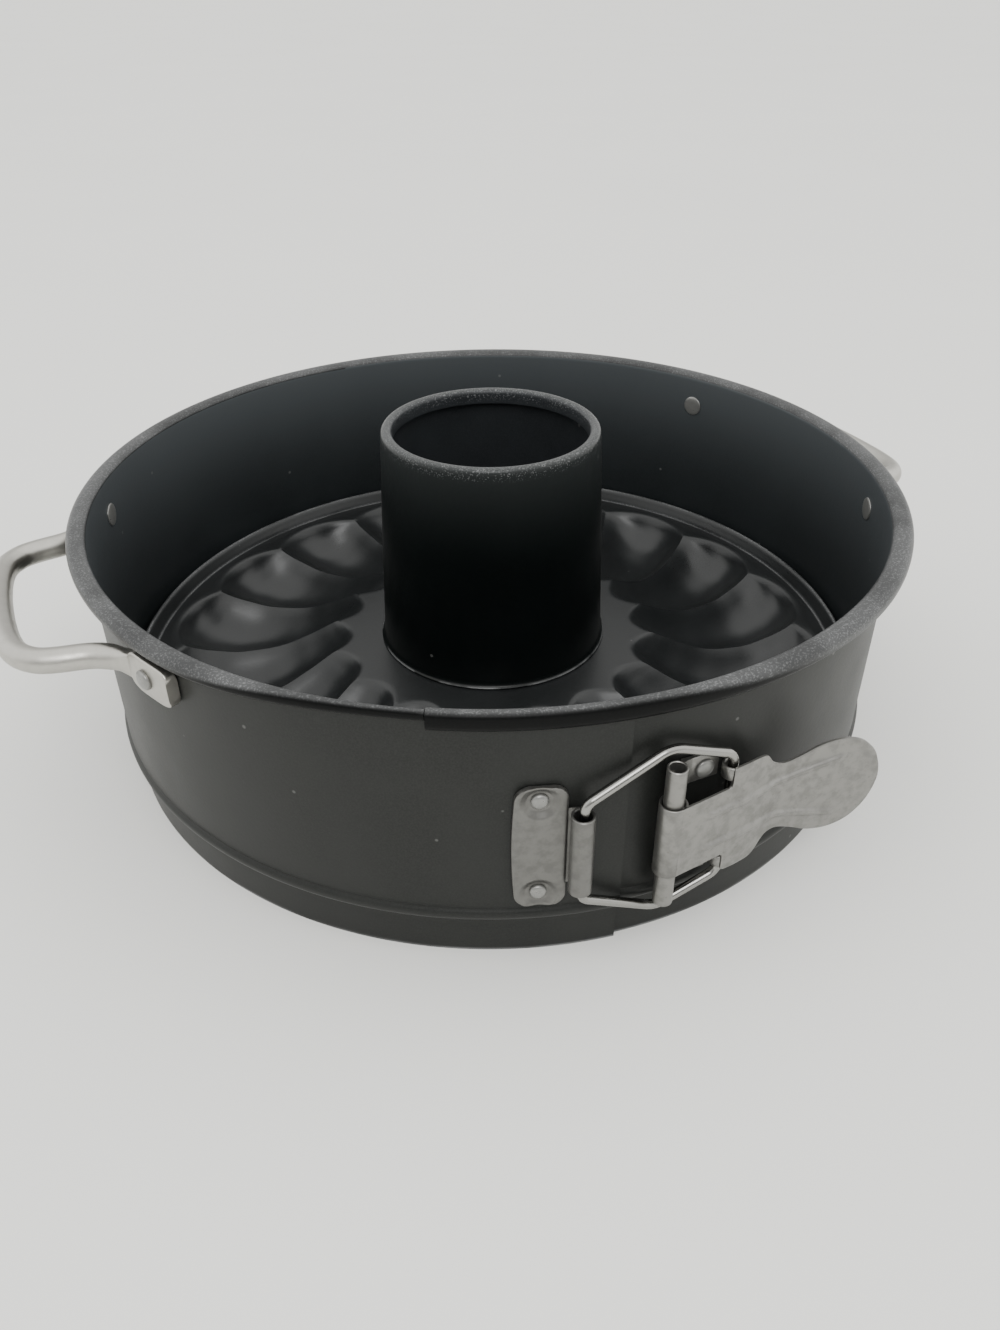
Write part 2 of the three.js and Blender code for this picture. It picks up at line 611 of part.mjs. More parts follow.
// The loop plate's rivets end flush inside, so that the inner strip can slide past them
function makePlateRivet(az, z) {
  const seat = BAND_RADIUS + PLATE_FIT + PLATE_SIZE.thick - PLATE_DISH + RIVET_FIT + 0.3;
  return radialTurned(az, z, [
    [RIVET_SHANK, BAND_RADIUS - SHEET + 0.1], [RIVET_SHANK, seat], [LATCH_RIVET_HEAD, seat + 0.25],
    [LATCH_RIVET_HEAD, seat + 0.5], [LATCH_RIVET_HEAD * 0.75, seat + 0.95],
    [LATCH_RIVET_HEAD * 0.35, seat + 1.15]]);
}

const coated = new THREE.MeshStandardMaterial({ color: 0x3b3e43, roughness: 0.45, metalness: 0.35 });
const plated = new THREE.MeshStandardMaterial({ color: 0xa9abac, roughness: 0.4, metalness: 0.9 });
const wireSteel = new THREE.MeshStandardMaterial({ color: 0xb9b6b0, roughness: 0.25, metalness: 1 });
const rivetSteel = new THREE.MeshStandardMaterial({ color: 0xb4b4b2, roughness: 0.35, metalness: 0.95 });

const pan = new THREE.Group();
pan.name = "fluted_tube_pan";

function addPart(name, geometry, material) {
  geometry.deleteAttribute("normal");
  geometry.deleteAttribute("uv");
  const merged = mergeVertices(geometry, 1e-5);
  merged.computeVertexNormals();
  const mesh = new THREE.Mesh(merged, material);
  mesh.name = name;
  pan.add(mesh);
}

addPart("band_right", makeBandRight(), coated);
addPart("band_left", makeBandLeft(), coated);
addPart("base_plate", makeBase(), coated);
addPart("center_tube", makeTube(), coated);
addPart("handle_right", makeHandle(HANDLE_RIGHT, innerStripRadius), wireSteel);
addPart("handle_left", makeHandle(HANDLE_LEFT, BAND_RADIUS), wireSteel);
addPart("lever_bracket", makeBracket(), plated);
addPart("lever", makeLever(), plated);
addPart("wire_loop", makeLoop(), wireSteel);
addPart("loop_plate", makePlate(), plated);

const handleStack = HANDLE_FIT + HANDLE_PLATE.thick;
const handleSides = [["right", HANDLE_RIGHT, innerStripRadius], ["left", HANDLE_LEFT, BAND_RADIUS]];
for (const [side, handle, radius] of handleSides) {
  handleRivets(handle).forEach(([a, z], i) => {
    const rivet = makeRivet(a, z, radius - SHEET, radius + handleStack, HANDLE_RIVET_HEAD);
    addPart(`handle_${side}_rivet_${i + 1}`, rivet, rivetSteel);
  });
}
bracketRivets.forEach(([az, z], i) => {
  const outside = innerStripRadius + PLATE_FIT + BRACKET_SHEET;
  const rivet = makeRivet(az, z, innerStripRadius - SHEET, outside, LATCH_RIVET_HEAD);
  addPart(`bracket_rivet_${i + 1}`, rivet, rivetSteel);
});
plateRivets.forEach(([az, z], i) => {
  addPart(`plate_rivet_${i + 1}`, makePlateRivet(az, z), rivetSteel);
});

export default pan;
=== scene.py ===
"""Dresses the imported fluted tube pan: a dark coated springform band drawn together by a lever latch,
a lift-out fluted base with its centre tube, and two loop handles. Metres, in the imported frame."""
import math

import bmesh
import bpy
import numpy as np
from mathutils import Matrix, Vector


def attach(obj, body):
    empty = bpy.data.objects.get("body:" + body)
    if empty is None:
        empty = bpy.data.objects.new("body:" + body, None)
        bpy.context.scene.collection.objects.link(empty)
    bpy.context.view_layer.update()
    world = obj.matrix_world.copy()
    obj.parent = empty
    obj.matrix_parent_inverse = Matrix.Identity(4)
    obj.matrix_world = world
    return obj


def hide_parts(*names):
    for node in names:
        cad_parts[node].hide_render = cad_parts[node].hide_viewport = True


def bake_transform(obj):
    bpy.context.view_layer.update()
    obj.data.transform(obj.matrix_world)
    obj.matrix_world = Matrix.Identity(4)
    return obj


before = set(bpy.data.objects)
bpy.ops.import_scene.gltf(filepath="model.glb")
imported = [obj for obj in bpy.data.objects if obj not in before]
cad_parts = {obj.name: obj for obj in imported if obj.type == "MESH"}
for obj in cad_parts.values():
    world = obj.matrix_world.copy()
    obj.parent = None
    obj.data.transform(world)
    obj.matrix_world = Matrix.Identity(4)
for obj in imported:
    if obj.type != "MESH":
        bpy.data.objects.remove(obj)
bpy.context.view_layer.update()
scene = bpy.context.scene

# Camera
# The photo's viewpoint: to the front left of the latch and above the pan, looking down into it.
# The frame is 1000 by 1330, and the long side takes the whole sensor.
focal_pixels, frame_tall, sensor = 1039.36, 1330, 36
yaw, pitch, roll = 0.008, 0.6048, -0.0052
lens_place, pan_turn = (0, -0.28723, 0.20527), math.radians(-22.5)
camera = bpy.data.objects.new("camera", bpy.data.cameras.new("camera"))
scene.collection.objects.link(camera)
camera.data.sensor_width = sensor
camera.data.lens = focal_pixels * sensor / frame_tall
camera.data.clip_start = 0.01
camera.data.clip_end = 60
ahead = Vector((math.sin(yaw) * math.cos(pitch), math.cos(yaw) * math.cos(pitch), -math.sin(pitch)))
aside = Vector((math.cos(yaw), -math.sin(yaw), 0))
above = aside.cross(ahead)
level = aside * math.cos(roll) + above * math.sin(roll)
above = above * math.cos(roll) - aside * math.sin(roll)
stand = Matrix((level, above, -ahead)).transposed().to_4x4()
stand.translation = lens_place
camera.matrix_world = Matrix.Rotation(pan_turn, 4, "Z") @ stand
scene.camera = camera


# Band
# A springy strip of sheet steel with a dark non-stick coat, rolled over at the rim, stepped in at the
# foot to seat the base, and open at the front, where the left end laps outside the right one.
class Flow:
    """A value on its way through a node tree. Sums, products and powers of flows add Math nodes."""

    def __init__(self, tree, socket=None):
        self.tree = tree
        self.socket = socket

    def node(self, kind, settings=None, inputs=None, out=0):
        """Add a node of a kind, with its settings, the values or links of its inputs, and one output"""
        made = self.tree.nodes.new(kind)
        for key, value in (settings or {}).items():
            if key == "curve":
                line = made.mapping.curves[0]
                line.points[0].location = value[0]
                line.points[1].location = value[-1]
                for x, y in value[1:-1]:
                    line.points.new(x, y)
                for point in line.points:
                    point.handle_type = "AUTO_CLAMPED"
                made.mapping.update()
            else:
                setattr(made, key, value)
        for key, value in (inputs or {}).items():
            if isinstance(value, Flow):
                self.tree.links.new(value.socket, made.inputs[key])
            else:
                made.inputs[key].default_value = value
        return Flow(self.tree, made.outputs[out])

    def out(self, name):
        """Another output of the node that this value comes from"""
        return Flow(self.tree, self.socket.node.outputs[name])

    def maths(self, operation, a, b=0.0):
        return self.node("ShaderNodeMath", {"operation": operation}, {0: a, 1: b})

    def __add__(self, other):
        return self.maths("ADD", self, other)

    def __radd__(self, other):
        return self.maths("ADD", other, self)

    def __sub__(self, other):
        return self.maths("SUBTRACT", self, other)

    def __rsub__(self, other):
        return self.maths("SUBTRACT", other, self)

    def __mul__(self, other):
        return self.maths("MULTIPLY", self, other)

    def __rmul__(self, other):
        return self.maths("MULTIPLY", other, self)

    def __truediv__(self, other):
        return self.maths("DIVIDE", self, other)

    def __pow__(self, other):
        return self.maths("POWER", self, other)

    def __abs__(self):
        return self.maths("ABSOLUTE", self)

    def near(self, at, width):
        """1 where this value is at the given place, falling to 0 over the width on both sides"""
        return self.maths("MAXIMUM", 1 - abs(self - at) / width, 0.0)

    def rise(self, low, high):
        """0 below low, 1 above high, smooth between"""
        return self.node("ShaderNodeMapRange", {"interpolation_type": "SMOOTHSTEP"},
                         {"Value": self, "From Min": low, "From Max": high})

    def tint(self, under, over):
        """A colour mixed from two by this value"""
        return self.node("ShaderNodeMix", {"data_type": "RGBA"}, {0: self, 6: under, 7: over}, 2)


def coated_steel(name, tone, gloss, bright, metal, shine, fade=None):
    """Dark coat with a fine metal fleck, faint clouding and dust specks, silvery where bright() says: wear
    on some parts, a painted highlight on others.

    A fade gives two heights, in metres, and the tone that the coat comes to at the upper one: painted light,
    lighter upwards."""
    dust_tone, silver_tone = (0.3, 0.3, 0.29, 1), (0.36, 0.365, 0.37, 1)
    darker, lighter, cloudy = [(*[c * k for c in tone], 1) for k in (0.82, 1.22, 1.5)]
    made = bpy.data.materials.new(name)
    made.use_nodes = True
    flow = Flow(made.node_tree)
    skin = made.node_tree.nodes["Principled BSDF"]
    at = flow.node("ShaderNodeTexCoord", out="Object")
    place = flow.node("ShaderNodeSeparateXYZ", {}, {0: at})
    x, y, z = place, place.out(1), place.out(2)
    radius = (x * x + y * y) ** 0.5
    cloud = flow.node("ShaderNodeTexNoise", {}, {"Vector": at, "Scale": 46, "Detail": 4}, "Fac")
    fleck = flow.node("ShaderNodeTexNoise", {}, {"Vector": at, "Scale": 2300, "Detail": 1}, "Fac")
    peel = flow.node("ShaderNodeTexNoise", {}, {"Vector": at, "Scale": 900, "Detail": 2}, "Fac")
    dust = flow.node("ShaderNodeTexVoronoi", {}, {"Vector": at, "Scale": 85}, "Distance")
    dust = 1 - dust.rise(0.03, 0.055)
    silvery = bright(radius, z, cloud, fleck)
    shade = fleck.rise(0.3, 0.78).tint(darker, lighter)
    shade = (cloud.rise(0.35, 0.7) * 0.35).tint(shade, cloudy)
    # painted light: the fade lightens the coat towards the top
    if fade:
        low, high, pale = fade
        risen = z.rise(low, high)
        shade = (risen * risen).tint(shade, (*pale, 1))
    shade = (dust * 0.22).tint(shade, dust_tone)
    # the silvery tone is worn metal where bright() marks wear, and a painted highlight where it marks one
    shade = silvery.tint(shade, silver_tone)
    tree = made.node_tree
    tree.links.new(shade.socket, skin.inputs["Base Color"])
    rough = gloss + (cloud - 0.5) * 0.16 + (fleck - 0.5) * 0.1
    tree.links.new(rough.socket, skin.inputs["Roughness"])
    skin.inputs["Specular IOR Level"].default_value = shine
    metal = metal + silvery * 0.5
    tree.links.new(metal.socket, skin.inputs["Metallic"])
    bump = flow.node("ShaderNodeBump", {}, {
        "Strength": 0.22, "Distance": 0.00012, "Height": peel * 0.7 + fleck * 0.3})
    tree.links.new(bump.socket, skin.inputs["Normal"])
    return made


def smooth_line(points, per_span):
    """Points on a Catmull-Rom curve through rows of numbers"""
    rows = np.array(points, float)
    ends = np.vstack([2 * rows[0] - rows[1], rows, 2 * rows[-1] - rows[-2]])
    line = []
    for i in range(1, len(ends) - 2):
        p0, p1, p2, p3 = ends[i - 1:i + 3]
        for k in range(per_span):
            t = k / per_span
            line.append(0.5 * (2 * p1 + (p2 - p0) * t + (2 * p0 - 5 * p1 + 4 * p2 - p3) * t ** 2
                               + (3 * p1 - p0 - 3 * p2 + p3) * t ** 3))
    line.append(rows[-1])
    return np.array(line)


def sheet_outline(line, thick):
    """The closed outline of a sheet of even thickness along a middle line"""
    line = np.array(line, float)
    along = np.gradient(line, axis=0)
    along /= np.linalg.norm(along, axis=1)[:, None]
    side = np.stack([along[:, 1], -along[:, 0]], 1) * thick / 2
    return np.vstack([line + side, (line - side)[::-1]])


def skin_rings(rings, closed=False):
    """Points and faces of a skin over a row of equal closed rings, capped unless the row is closed too"""
    count = len(rings[0])
    points = [tuple(p) for ring in rings for p in ring]
    faces = []
    for j in range(len(rings) if closed else len(rings) - 1):
        k = (j + 1) % len(rings)
        for i in range(count):
            m = (i + 1) % count
            faces.append((j * count + i, k * count + i, k * count + m, j * count + m))
    if not closed:
        faces.append(tuple(range(count)))
        faces.append(tuple((len(rings) - 1) * count + i for i in range(count))[::-1])
    return points, faces


mm, per_metre = 0.001, 1000


def new_piece(name, skin, material, crisp=35):
    """An object from points in millimetres, its faces turned outwards and its sharp edges kept"""
    weld, sliver = 2e-6, 1e-6
    mesh = bpy.data.meshes.new(name)
    points, faces = skin
    mesh.from_pydata([(x * mm, y * mm, z * mm) for x, y, z in points], [], faces)
    work = bmesh.new()
    work.from_mesh(mesh)
    bmesh.ops.remove_doubles(work, verts=work.verts, dist=weld)
    bmesh.ops.dissolve_degenerate(work, edges=work.edges, dist=sliver)
    bmesh.ops.recalc_face_normals(work, faces=work.faces)
    work.to_mesh(mesh)
    work.free()
    mesh.shade_smooth()
    mesh.set_sharp_from_angle(angle=math.radians(crisp))
    mesh.materials.append(material)
    made = bpy.data.objects.new(name, mesh)
    scene.collection.objects.link(made)
    return made


def eased(value, low, high):
    """0 below low, 1 above high, smooth between"""
    t = min(max((value - low) / (high - low), 0), 1)
    return t * t * (3 - 2 * t)


def bulged(value, power):
    """A sine or cosine raised to a power with its sign kept, which squares or flattens a round outline"""
    return math.copysign(abs(value) ** power, value)


# sizes in millimetres and azimuths in degrees; a tuck is what a rim end loses in width and in height
pan_height, strip_thick, foot_step, bead_crisp, roll_power = 75.5, 0.8, 1.6, 0.3, 0.72
right_end, back_seam, left_end, back_blend = -119.5, 90, 262.5, (62, 118)
right_strip = {"radius": 115.2, "rim": (5.8, 4.8), "lift": 0.5}
left_strip = {"radius": 116.3, "rim": (5.2, 4.0)}
lap_start, lap_top, left_tuck, right_tuck = 240.42, 70.2, (3.1, 1.6), (2.3, -0.1)


def rim_sizes(azimuth):
    """Wall radius, half width, half height and middle height of the rolled rim at an azimuth.

    The sizes change from the right end's to the left's at the back, and both ends draw in at the lap."""
    t = eased(azimuth, *back_blend)
    radius, wide, tall = [a + (b - a) * t for a, b in zip(
        (right_strip["radius"], *right_strip["rim"]), (left_strip["radius"], *left_strip["rim"]))]
    to_left, to_right = eased(azimuth, 208, 239), 1 - eased(azimuth, -105, -55)
    wide -= left_tuck[0] * to_left + right_tuck[0] * to_right
    tall -= left_tuck[1] * to_left + right_tuck[1] * to_right
    half_wide, half_tall = (wide - strip_thick) / 2, (tall - strip_thick) / 2
    return radius - strip_thick / 2, half_wide, half_tall, pan_height - strip_thick / 2 - half_tall


def band_ring(azimuth):
    """Section of the strip at an azimuth, from its foot up the wall and round the rolled rim"""
    wall, half_wide, half_tall, rim_z = rim_sizes(azimuth)
    lift = right_strip["lift"] * (1 - eased(azimuth, *back_blend))
    foot = wall - foot_step
    crisp = bead_crisp * eased(azimuth, -97, -92)
    bead = smooth_line([
        (foot, 8 + lift), (foot, 10.6 + lift), (foot + 0.3, 11.7 + lift), (foot + 1.5, 12.7 + lift),
        (wall + 0.4, 13.5 + lift), (wall + 0.58, 14.4 + lift), (wall + 0.5, 15.3 + lift),
        (wall + 0.06, 16.3 + lift), (wall, 17 + lift), (wall, 21 + lift)], 3)
    for row in bead:
        z = row[1]
        row[0] += crisp * (eased(z, 12.7 + lift, 14 + lift) * (1 - eased(z, 15 + lift, 16.2 + lift)))
    upright = [(foot, z) for z in (0, 0.15, 4)] + [tuple(p) for p in bead]
    upright += [(wall, z) for z in (30, 42, 54, 64, 69.8, lap_top)]
    curl = []
    for angle in range(180, -171, -10):
        turn = math.radians(angle)
        out, up = bulged(math.cos(turn), roll_power), bulged(math.sin(turn), roll_power)
        curl.append((wall + half_wide + half_wide * out, rim_z + half_tall * up))
    outline = sheet_outline(upright + curl, strip_thick)
    if azimuth > lap_start:
        # the lapped end has no roll, so its whole curl is drawn down to the wall's top edge
        kept, half = len(upright), len(outline) / 2
        for i in range(kept, len(outline) - kept):
            outline[i] = (wall + strip_thick / 2 if i < half else wall - strip_thick / 2, lap_top)
    turn = math.radians(azimuth)
    return [(r * math.cos(turn), r * math.sin(turn), z) for r, z in outline]


def band_bright(radius, z, cloud, fleck):
    """A thin silvery line along the foot's lower edge"""
    return (1 - z.rise(0.0002, 0.0009)) * cloud.rise(0.25, 0.6) * 0.4


def rim_wear_and_highlight(radius, z, cloud, fleck):
    """Painted highlight, partly wear, flecked, along the top and front of the rolled rim, from the strip's
    own attribute
    """
    crown = radius.node("ShaderNodeAttribute", {"attribute_name": "crown"}, {}, "Fac")
    return crown * (0.19 + fleck.rise(0.5, 0.72) * 0.2) * (0.7 + cloud.rise(0.35, 0.65) * 0.45)


def strip_azimuth(spot):
    """The azimuth of a point in millimetres, counted on from the right end of the strip to the left"""
    return (math.degrees(math.atan2(spot.y, spot.x)) + 120) % 360 - 120


def mark_rim_highlight(strip):
    """Store where the rolled rim gets its painted highlight: on top of the roll at the lap, and down its
    front elsewhere
    """
    pale = []
    for vertex in strip.data.vertices:
        spot = vertex.co * per_metre
        azimuth = strip_azimuth(spot)
        wall, half_wide, half_tall, rim_z = rim_sizes(azimuth)
        across = (math.hypot(spot.x, spot.y) - wall - half_wide) / half_wide
        turn = math.degrees(math.atan2((spot.z - rim_z) / half_tall, across))
        near_lap = max(eased(azimuth, 205, 230), 1 - eased(azimuth, -97, -70))
        low = -40 + 80 * near_lap
        share = eased(turn, low, low + 35) * (1 - eased(turn, 145, 170))
        pale.append(share if spot.z > lap_top + 0.3 else 0)
    strip.data.attributes.new("crown", "FLOAT", "POINT").data.foreach_set("value", pale)


facing_in, inner_edge = -0.5, 74.1


def faces_in(spot, outward):
    """Whether a face looks towards the pan's middle"""
    return outward < facing_in


def on_rim(spot, outward):
    """Whether a face is on the rolled rim, leaving out the lower part of the roll's inner side; these faces
    get the near-black coat of painted shade
    """
    wall, half_wide, half_tall, rim_z = rim_sizes(strip_azimuth(spot))
    on_roll = spot.z > rim_z - half_tall - strip_thick / 2
    return on_roll and (outward > facing_in or spot.z > inner_edge)


def coat_where(piece, material, holds):
    """Give another coat to the faces whose middle, in millimetres, and outward turn meet a condition"""
    piece.data.materials.append(material)
    for side in piece.data.polygons:
        spot = side.center * per_metre
        if holds(spot, side.normal.xy.dot(spot.xy.normalized())):
            side.material_index = len(piece.data.materials) - 1


band_coat = coated_steel("band_coat", (0.0145, 0.0153, 0.0142), 0.42, band_bright, 0.12, 0.22)
# painted light on the inner wall: the coat lightens from the foot up to the rim, as the upper wall gets more
# of the tent's light
inside_painted_light = (0.01, 0.085, (0.07, 0.078, 0.083))
inside_coat = coated_steel(
    "inside_coat", (0.012, 0.0143, 0.0153), 0.42, band_bright, 0.07, 0.3, inside_painted_light)
# the roll keeps the band's coat but near black: painted shade for the dark reflections on its front
rim_painted_shade_coat = coated_steel("rim_painted_shade_coat", (0.003, 0.0032, 0.0032), 0.34, rim_wear_and_highlight, 0.0, 0.08)
right_rings = [band_ring(az) for az in np.linspace(right_end, back_seam, 211)]
band_right = new_piece("band_right_strip", skin_rings(right_rings), band_coat)
left_rings = [band_ring(az) for az in [*np.linspace(back_seam, lap_start, 152), lap_start + 0.01]]
left_rings += [band_ring(az) for az in np.linspace(lap_start + 1, left_end, 23)]
band_left = new_piece("band_left_strip", skin_rings(left_rings), band_coat)
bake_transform(band_right)
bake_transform(band_left)
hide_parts("band_right")
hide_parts("band_left")
for strip in (band_right, band_left):
    mark_rim_highlight(strip)
    coat_where(strip, inside_coat, faces_in)
    coat_where(strip, rim_painted_shade_coat, on_rim)

# Fluted base
# A sheet steel disc pressed into eighteen swirled scoops between a flat land round the tube and a
# rolled-up edge, and coated like the band. It drops into the band and rests on the foot's step.
flutes, per_flute = 18, 18
base_sizes = {
    "Flutes": flutes, "Swirl": math.radians(8), "Phase": math.radians(-27.5), "Reach": 0.12, "Rise": 0.03,
    "Sharpness": 2.2, "Crest": 0.07, "Rows": 91, "Columns": flutes * per_flute + 1}
full_radius, full_height = 120, 30  # millimetres that a curve's full value, Reach or Rise, stands for
base_hole, land_z, base_sheet = 35.3, 22.3, 0.0008
trough_in, trough_out, ridge_in, ridge_out = 45, 106, 50, 101
flute_rows = [  # share along the flute, height at a ridge, height at a trough
    (0, land_z, land_z), (0.04, 21.9, 21), (0.08, 20.9, 18.9), (0.24, 16.9, 12), (0.42, 13.8, 7.4),
    (0.62, 13.2, 5.5), (0.8, 15, 7.6), (0.93, 17.4, 12.9), (0.975, 18.7, 16.6), (1, 19.1, 19.1)]
edge_rows = [  # radius and height
    (109.2, 19.1), (109.9, 20), (110.7, 21.5), (111.3, 22.6), (112, 23), (113, 22.3), (113.4, 21),
    (113.4, 13.3)]
inner_end, outer_end = 0.09, 0.8
curves = {"trough_r": [(0, base_hole)], "ridge_r": [(0, base_hole)],
          "trough_z": [(0, land_z)], "ridge_z": [(0, land_z)]}
for share, ridge, trough in flute_rows:
    u = inner_end + (outer_end - inner_end) * share
    curves["trough_r"].append((u, trough_in + (trough_out - trough_in) * share))
    curves["ridge_r"].append((u, ridge_in + (ridge_out - ridge_in) * share))
    curves["trough_z"].append((u, trough))
    curves["ridge_z"].append((u, ridge))
for i, (r, z) in enumerate(edge_rows):
    u = outer_end + (1 - outer_end) * (i + 1) / len(edge_rows)
    for key in ("trough", "ridge"):
        curves[key + "_r"].append((u, r))
        curves[key + "_z"].append((u, z))


def new_tree(name, sizes):
    """An empty Geometry Nodes tree with a named input for each size"""
    tree = bpy.data.node_groups.new(name, "GeometryNodeTree")
    tree.interface.new_socket("Geometry", in_out="OUTPUT", socket_type="NodeSocketGeometry")
    tree.interface.new_socket("Geometry", in_out="INPUT", socket_type="NodeSocketGeometry")
    for key, value in sizes.items():
        kind = "NodeSocketInt" if isinstance(value, int) else "NodeSocketFloat"
        tree.interface.new_socket(key, in_out="INPUT", socket_type=kind)
    return tree, Flow(tree).node("NodeGroupInput", out="Geometry")


def grown_piece(name, tree, last, material, sizes, seed_mesh, thick=0.0):
    """Ends a tree, sets its sizes, and turns what it grows into a plain mesh piece"""
    last = last.node("GeometryNodeRealizeInstances", {}, {"Geometry": last})
    last = last.node("GeometryNodeSetMaterial", {}, {"Geometry": last, "Material": material})
    last = last.node("GeometryNodeSetShadeSmooth", {}, {"Geometry": last})
    end = tree.nodes.new("NodeGroupOutput")
    tree.links.new(last.socket, end.inputs["Geometry"])
    made = bpy.data.objects.new(name, seed_mesh)
    scene.collection.objects.link(made)
    grower = made.modifiers.new("grow", "NODES")
    grower.node_group = tree
    for item in tree.interface.items_tree:
        if item.in_out == "INPUT" and item.name in sizes:
            grower[item.identifier] = sizes[item.name]
    if thick:
        wall = made.modifiers.new("thickness", "SOLIDIFY")
        wall.thickness = thick
        wall.offset = -1
    grown = bpy.data.meshes.new_from_object(made.evaluated_get(bpy.context.evaluated_depsgraph_get()))
    made.modifiers.clear()
    made.data = grown
    grown.name = name
    grown.shade_smooth()
    grown.set_sharp_from_angle(angle=math.radians(38))
    return made


tree, given = new_tree("fluted_base_rule", base_sizes)
sheet = given.node("GeometryNodeMeshGrid", {}, {
    "Size X": 1.0, "Size Y": 1.0, "Vertices X": given.out("Rows"), "Vertices Y": given.out("Columns")})
spot = given.node("GeometryNodeInputPosition")
spot = given.node("ShaderNodeSeparateXYZ", {}, {0: spot})
share, around = spot + 0.5, spot.out(1) + 0.5
off_crest = 1 - abs(2 * given.maths("FRACT", around * given.out("Flutes")) - 1)
crest = given.out("Crest")
rounded = (off_crest * off_crest + crest * crest) ** 0.5 - crest
toward = given.maths("MAXIMUM", 1 - rounded / ((crest * crest + 1) ** 0.5 - crest), 0.0)
lift = toward ** given.out("Sharpness")
pull = (1 - off_crest) * (1 - off_crest)
read = {}
for key, points in curves.items():
    full = full_radius if key.endswith("r") else full_height
    curve = [(u, value / full) for u, value in points]
    read[key] = given.node("ShaderNodeFloatCurve", {"curve": curve}, {"Value": share})
radius = (read["trough_r"] + (read["ridge_r"] - read["trough_r"]) * pull) * given.out("Reach")
height = (read["trough_z"] + (read["ridge_z"] - read["trough_z"]) * lift) * given.out("Rise")
along = given.node("ShaderNodeMapRange", {}, {"Value": share, "From Min": inner_end, "From Max": outer_end})
angle = around * (2 * math.pi) + given.out("Phase") + along * given.out("Swirl")
point = given.node("ShaderNodeCombineXYZ", {}, {
    0: radius * given.maths("COSINE", angle), 1: radius * given.maths("SINE", angle), 2: height})
sheet = given.node("GeometryNodeSetPosition", {}, {"Geometry": sheet, "Position": point})
sheet = given.node("GeometryNodeMergeByDistance", {}, {"Geometry": sheet, "Distance": 1e-6})


def base_wear_and_highlight(radius, z, cloud, fleck):
    """Broken silvery lines along the crest and the foot of the rolled-up edge: a painted highlight on those
    edges, partly wear
    """
    ring = radius.near(0.112, 0.0006) + radius.near(0.1093, 0.0005) * 0.8
    return ring * (0.35 + cloud.rise(0.35, 0.6) * 0.65) * (0.4 + fleck.rise(0.4, 0.7) * 0.6)


base_coat = coated_steel("base_coat", (0.012, 0.0132, 0.0137), 0.32, base_wear_and_highlight, 0.17, 0.5)
base_seed = bpy.data.meshes.new("base_seed")
base = grown_piece("fluted_base", tree, sheet, base_coat, base_sizes, base_seed, base_sheet)
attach(base, "insert")
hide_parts("base_plate")

# Centre tube
# A slightly tapered tube of the same coated sheet. Its foot is crimped through the hole in the base,
# and its top is hemmed inwards to a narrow flat ring, which is painted paler: worn flecks and a painted
# highlight.
tube_sides = 120
foot_radius, top_radius, tube_top, hem = 34.9, 32.1, 91.4, 28.7
tube_side = smooth_line([
    (foot_radius - 0.8, 20.3), (36.4, 20.3), (36.6, 20.6), (36.6, 21), (36.2, 21.2), (35, 21.2),
    (35, 22.6), (35.7, 22.6), (35.9, 22.75), (35.8, 22.95), (35.4, 23.3), (35.05, 24), (foot_radius, 25),
    (34.7, 30), (33.5, 60), (32.25, 86), (top_radius, 88.8), (31.95, 90.2), (31.5, 91),
    (30.8, tube_top - 0.05), (30, tube_top - 0.05), (29.3, 91.1), (28.85, 90.5), (hem, 89.6),
    (hem, 88), (hem, 87.1), (hem + 0.15, 87), (29.4, 87), (29.5, 87.2), (29.5, 89.2), (29.9, 90),
    (30.6, 90.2), (31.15, 89.6), (31.3, 88.6), (32.6, 60), (33.9, 30)], 3)
tube_rings = []
for i in range(tube_sides):
    turn = math.radians(i * 360 / tube_sides)
    tube_rings.append([(r * math.cos(turn), r * math.sin(turn), z) for r, z in tube_side])


def tube_wear_and_highlight(radius, z, cloud, fleck):
    """Worn flecks and a painted highlight on the hem's flat ring, flecks just below it, and a broken line
    round the crimp
    """
    lip = z.rise(0.0904, 0.0914) * (0.2 + fleck.rise(0.4, 0.7) * 0.6)
    side = z.near(0.0897, 0.0022) * fleck.rise(0.58, 0.72) * 0.4
    crimp = z.near(0.0229, 0.0005) * radius.rise(0.0353, 0.0358) * cloud.rise(0.48, 0.56)
    return lip * 0.32 + side + crimp * 0.3


# painted light on the tube's outside: its coat lightens towards the top
tube_painted_light_fade = (0.05, 0.094, (0.016, 0.0185, 0.0185))
tube_coat = coated_steel("tube_coat", (0.002, 0.003, 0.0029), 0.33, tube_wear_and_highlight, 0.0, 0.25, tube_painted_light_fade)
# the inside of the tube gets a lighter copy of its coat: painted light on the inner wall
tube_inside_painted_light = coated_steel("tube_inside_painted_light", (0.017, 0.019, 0.021), 0.4, tube_wear_and_highlight, 0.0, 0.3)
tube = new_piece("centre_tube", skin_rings(tube_rings, closed=True), tube_coat)
coat_where(tube, tube_inside_painted_light, faces_in)
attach(tube, "insert")
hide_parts("center_tube")


